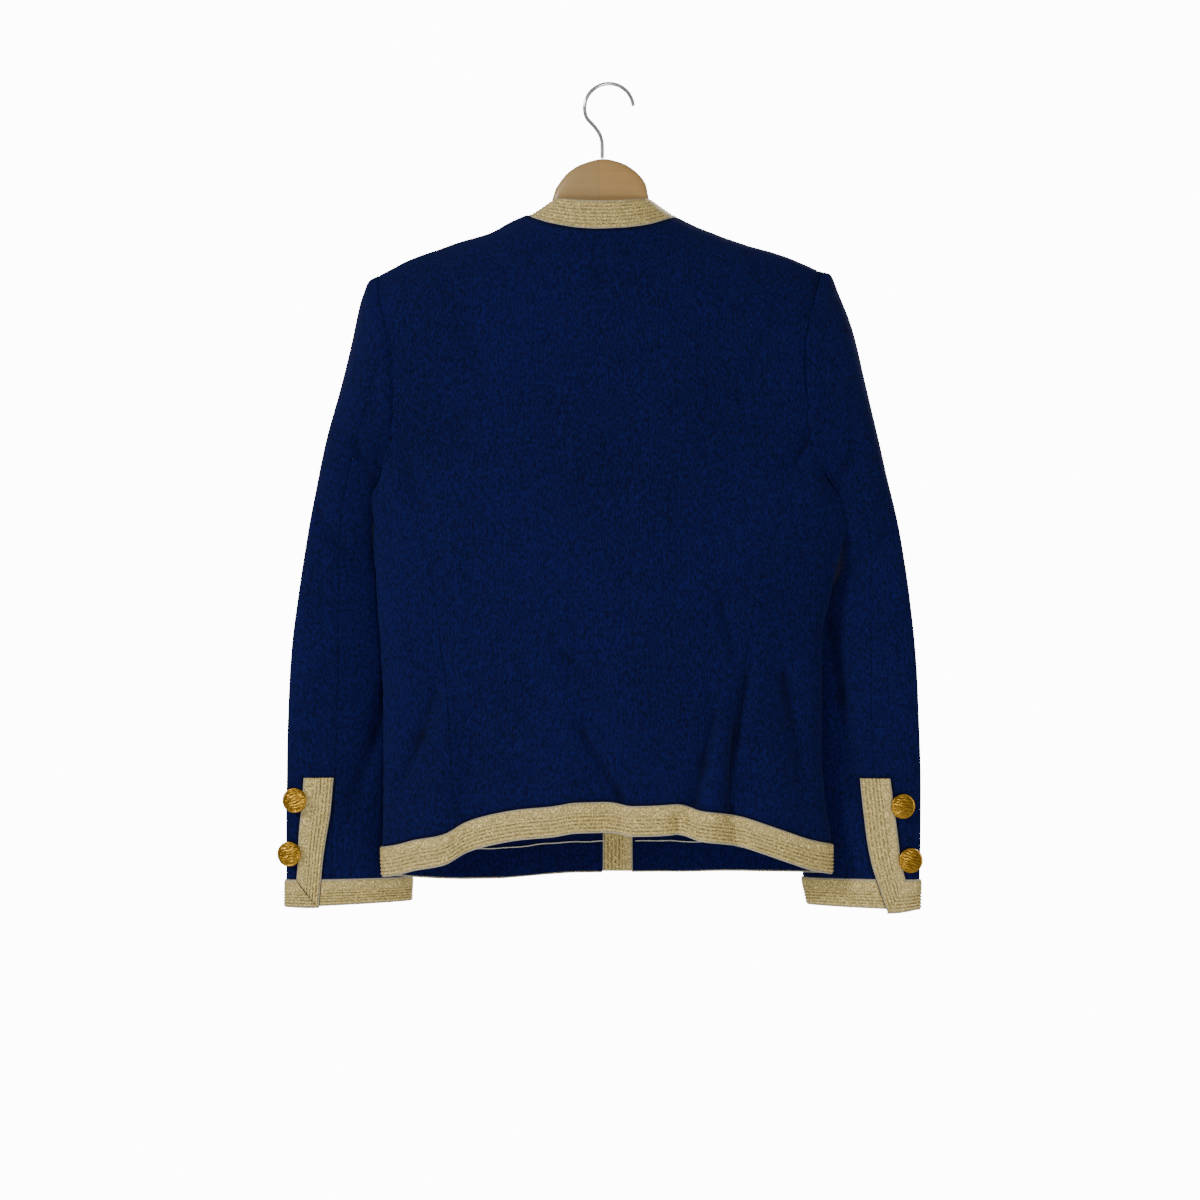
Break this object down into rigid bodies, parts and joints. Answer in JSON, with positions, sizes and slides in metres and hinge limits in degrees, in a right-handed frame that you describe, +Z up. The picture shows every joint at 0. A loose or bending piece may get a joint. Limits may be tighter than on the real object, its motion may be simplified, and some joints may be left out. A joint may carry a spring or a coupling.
{
  "type": "knit blazer on a hanger",
  "caption": "Fitted navy knit blazer with pale gold ribbed bands at neck, hem, cuffs and front, hung on a wooden hanger.",
  "frame": {"origin": "inside top of the hanger's hook, where a rod carries it", "axes": "+Z up, +Y from the garment's back towards its front, +X to the right as one looks at its back"},
  "size_m": [0.593, 0.1055, 0.762],
  "materials": {
    "navy_knit": "matte fine knit",
    "gold_rib": "ribbed metallic thread",
    "pale_tape": "matte woven tape",
    "gold_button": "hammered, polished",
    "tan_wood": "satin varnish",
    "chrome_wire": "polished"
  },
  "bodies": {
    "root": {"back_centre": "navy_knit", "back_side_left": "navy_knit", "back_side_right": "navy_knit", "cuff_band_left": "gold_rib", "cuff_band_right": "gold_rib", "cuff_button_left_lower": "gold_button", "cuff_button_left_upper": "gold_button", "cuff_button_right_lower": "gold_button", "cuff_button_right_upper": "gold_button", "front_button_1": "gold_button", "front_button_2": "gold_button", "front_button_3": "gold_button", "front_button_4": "gold_button", "front_button_5": "gold_button", "front_left": "navy_knit", "front_right": "navy_knit", "hanger_hook": "chrome_wire", "hanger_wood": "tan_wood", "hem_band_back": "gold_rib", "hem_band_front_left": "gold_rib", "hem_band_front_right": "gold_rib", "hem_tape_left": "pale_tape", "hem_tape_right": "pale_tape", "neck_band": "gold_rib", "placket_over": "gold_rib", "placket_under": "gold_rib", "sleeve_top_left": "navy_knit", "sleeve_top_right": "navy_knit", "sleeve_under_left": "navy_knit", "sleeve_under_right": "navy_knit", "vent_band_left": "gold_rib", "vent_band_right": "gold_rib"}
  },
  "joints": []
}
